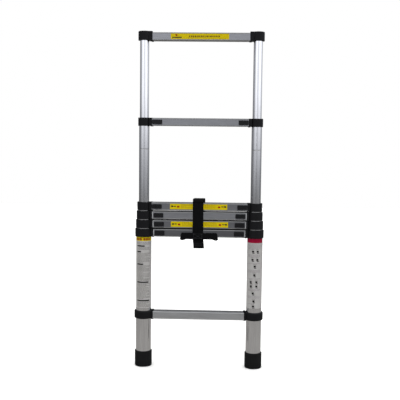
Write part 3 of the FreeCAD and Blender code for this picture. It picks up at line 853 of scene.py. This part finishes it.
# ---- carry handle ----
# A webbing loop pressed flat and sewn to the strap across its middle, so that each end is a grip.
# Its ends are rounded and hang lower than the pinched middle.
handle_low, handle_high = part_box("carry_handle")
HANDLE_THICK = 1.8 * MM
half_long = handle_high[0] - HANDLE_THICK / 2
front = handle_low[1] + HANDLE_THICK / 2 + 0.2 * MM
back = handle_high[1] - HANDLE_THICK / 2 - 0.1 * MM
depth = (back - front) / 2
middle_y = (front + back) / 2
MIDDLE_DIP = 0.8 * MM
MIDDLE_BOTTOM = handle_high[2] - 22.6 * MM
END_BOTTOM = handle_low[2] - 1.2 * MM
TOP_ROUND, BOTTOM_ROUND = 3.5 * MM, 6.5 * MM
END_FLARE = 4.6 * MM


def corner_drop(x, radius):
    """How far a rounded corner has turned in at x."""
    inside = max(0.0, abs(x) - (half_long - radius)) / radius
    return radius * (1 - math.sqrt(max(0.0, 1 - inside ** 2)))


def handle_top(x):
    """The top edge dips in the middle and rises over the middle half of each side."""
    dip = MIDDLE_DIP * (1 - ease(abs(x), 0.25 * half_long, 0.75 * half_long))
    return handle_high[2] - dip - corner_drop(x, TOP_ROUND)


def handle_bottom(x):
    """The bottom edge drops to the wider grips near the ends."""
    lobe = ease(abs(x), 0.66 * half_long, 0.88 * half_long)
    return MIDDLE_BOTTOM + (END_BOTTOM - MIDDLE_BOTTOM) * lobe + corner_drop(x, BOTTOM_ROUND)


END_SWEEP = 0.12


def loop_point(s):
    """A flattened ring in plan: s runs from 0 to 1 round it, and END_SWEEP of each side goes round the end."""
    turn = 2 * math.pi * s
    sweep = (1 + END_SWEEP) * math.cos(turn)
    over = min(1.0, max(0.0, abs(sweep) - 1) / END_SWEEP)
    wide = max(-1.0, min(1.0, sweep))
    x = (half_long - depth) * wide
    if over > 0:
        x += math.copysign(depth * (1 - math.sqrt(1 - over ** 2)), wide)
    side = -1 if math.sin(turn) >= 0 else 1
    return x, middle_y + side * depth * math.sqrt(1 - over ** 2)


AROUND, TALL = 200, 14
handle_mesh = bmesh.new()
weave = handle_mesh.loops.layers.uv.new("weave")
outline = [Vector((*loop_point((i + 0.5) / AROUND), 0)) for i in range(AROUND)]
runs = [0.0]
for a, b in zip(outline, outline[1:] + outline[:1]):
    runs.append(runs[-1] + (b - a).length)
skins = []
for offset in (HANDLE_THICK / 2, -HANDLE_THICK / 2):
    skin = []
    for i, p in enumerate(outline):
        tangent = (outline[(i + 1) % AROUND] - outline[i - 1]).normalized()
        out = tangent.cross(Vector((0, 0, 1)))
        inside = Vector((0.9 * p.x, middle_y, 0))
        if out.dot(p - inside) < 0:
            out = -out
        low_z, high_z = handle_bottom(p.x), handle_top(p.x)
        flare = math.copysign(END_FLARE * ease(abs(p.x), 0.7 * half_long, half_long), p.x)
        x, y = p.x + out.x * offset, p.y + out.y * offset
        skin.append([handle_mesh.verts.new((x - flare * k / TALL, y, low_z + (high_z - low_z) * k / TALL))
                     for k in range(TALL + 1)])
    skins.append(skin)
outer, inner = skins
for i in range(AROUND):
    n = (i + 1) % AROUND
    quads = []
    for k in range(TALL):
        quads.append((outer[i][k], outer[n][k], outer[n][k + 1], outer[i][k + 1]))
        quads.append((inner[n][k], inner[i][k], inner[i][k + 1], inner[n][k + 1]))
    for k in (0, TALL):
        quads.append((outer[i][k], inner[i][k], inner[n][k], outer[n][k]))
    here = set(outer[i] + inner[i])
    for quad in quads:
        face = handle_mesh.faces.new(quad)
        face.smooth = True
        for loop in face.loops:
            loop[weave].uv = (loop.vert.co.z - handle_low[2], runs[i] if loop.vert in here else runs[i + 1])
handle = made("carry_handle_loop", handle_mesh, webbing)
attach(handle, "section_4")
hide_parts("carry_handle")


# ---- stitching ----
# Bonded polyester thread: a box with a cross in it through the handle and the strap, and two rows
# across the strap's turned-back end.
PLY = 0.6667 * MM
STITCH_PITCH, THREAD_RADIUS, STITCH_HALF = 2.6 * MM, 0.38 * MM, 0.42
thread, tree, shader = new_material("bonded_polyester_thread")
ply = add(tree, "ShaderNodeTexNoise", {"Vector": along(tree, (1, 1, 1)), "Scale": 1 / PLY, "Detail": 2.0})
shades(shader, ply.outputs["Fac"], "#242426", "#3A3A3D")
shader.inputs["Roughness"].default_value = 0.5
stitch_group, given = new_group("lock_stitches", {
    "Pitch": "Float", "Thread Radius": "Float", "Thread": "Material"})
seam = add(stitch_group, "GeometryNodeMeshToCurve", {"Mesh": given["Geometry"]})
marks_along = add(stitch_group, "GeometryNodeResampleCurve", {
    "Curve": seam.outputs["Curve"], "Length": given["Pitch"]}, mode="LENGTH")
tangent = add(stitch_group, "GeometryNodeInputTangent")
turned = add(stitch_group, "FunctionNodeAlignRotationToVector", {"Vector": tangent.outputs["Tangent"]},
             axis="Z")
bead = add(stitch_group, "GeometryNodeMeshUVSphere", {"Segments": 8, "Rings": 6, "Radius": 1.0})
half_stitch = add(stitch_group, "ShaderNodeMath", {0: given["Pitch"], 1: STITCH_HALF}, operation="MULTIPLY")
size = add(stitch_group, "ShaderNodeCombineXYZ", {
    "X": given["Thread Radius"], "Y": given["Thread Radius"], "Z": half_stitch.outputs["Value"]})
one = add(stitch_group, "GeometryNodeTransform", {
    "Geometry": bead.outputs["Mesh"], "Scale": size.outputs["Vector"]})
laid = add(stitch_group, "GeometryNodeInstanceOnPoints", {
    "Points": marks_along.outputs["Curve"], "Instance": one.outputs["Geometry"],
    "Rotation": turned.outputs["Rotation"]})
finish_group(stitch_group, laid.outputs["Instances"], given["Thread"])


def stitched(name, seams):
    """A row of stitches from one end of each seam to the other."""
    seeds = bpy.data.meshes.new(name)
    points = [p for seam_ends in seams for p in seam_ends]
    seeds.from_pydata(points, [(i, i + 1) for i in range(0, len(points), 2)], [])
    piece = grown(name, seeds, stitch_group, {
        "Pitch": STITCH_PITCH, "Thread Radius": THREAD_RADIUS, "Thread": thread})
    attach(piece, "section_4")


THREAD_LIFT = 0.05 * MM
BOX_HALF, BOX_MARGIN = 15 * MM, 2.5 * MM
sewn_y = front - HANDLE_THICK / 2 - THREAD_LIFT
x0, x1 = FRONT_X - BOX_HALF, FRONT_X + BOX_HALF
z0, z1 = MIDDLE_BOTTOM + BOX_MARGIN, handle_top(0) - BOX_MARGIN
corners = [(x0, sewn_y, z0), (x1, sewn_y, z0), (x1, sewn_y, z1), (x0, sewn_y, z1)]
cross = [(corners[0], corners[2]), (corners[1], corners[3])]
stitched("handle_box_stitch", list(zip(corners, corners[1:] + corners[:1])) + cross)

ROWS_BELOW_HEM_EDGE, ROW_INSET = (12 * MM, 17 * MM), 4 * MM
hem_x = FRONT_X + 0.8 * END_LEAN
hem_y = front_y - STRAP_THICK / 2 - THREAD_LIFT
row_left, row_right = hem_x - STRAP_HALF + ROW_INSET, hem_x + STRAP_HALF - ROW_INSET
rows = [strap_end + (HEM - below) for below in ROWS_BELOW_HEM_EDGE]
stitched("strap_hem_stitch", [((row_left, hem_y, z), (row_right, hem_y, z)) for z in rows])
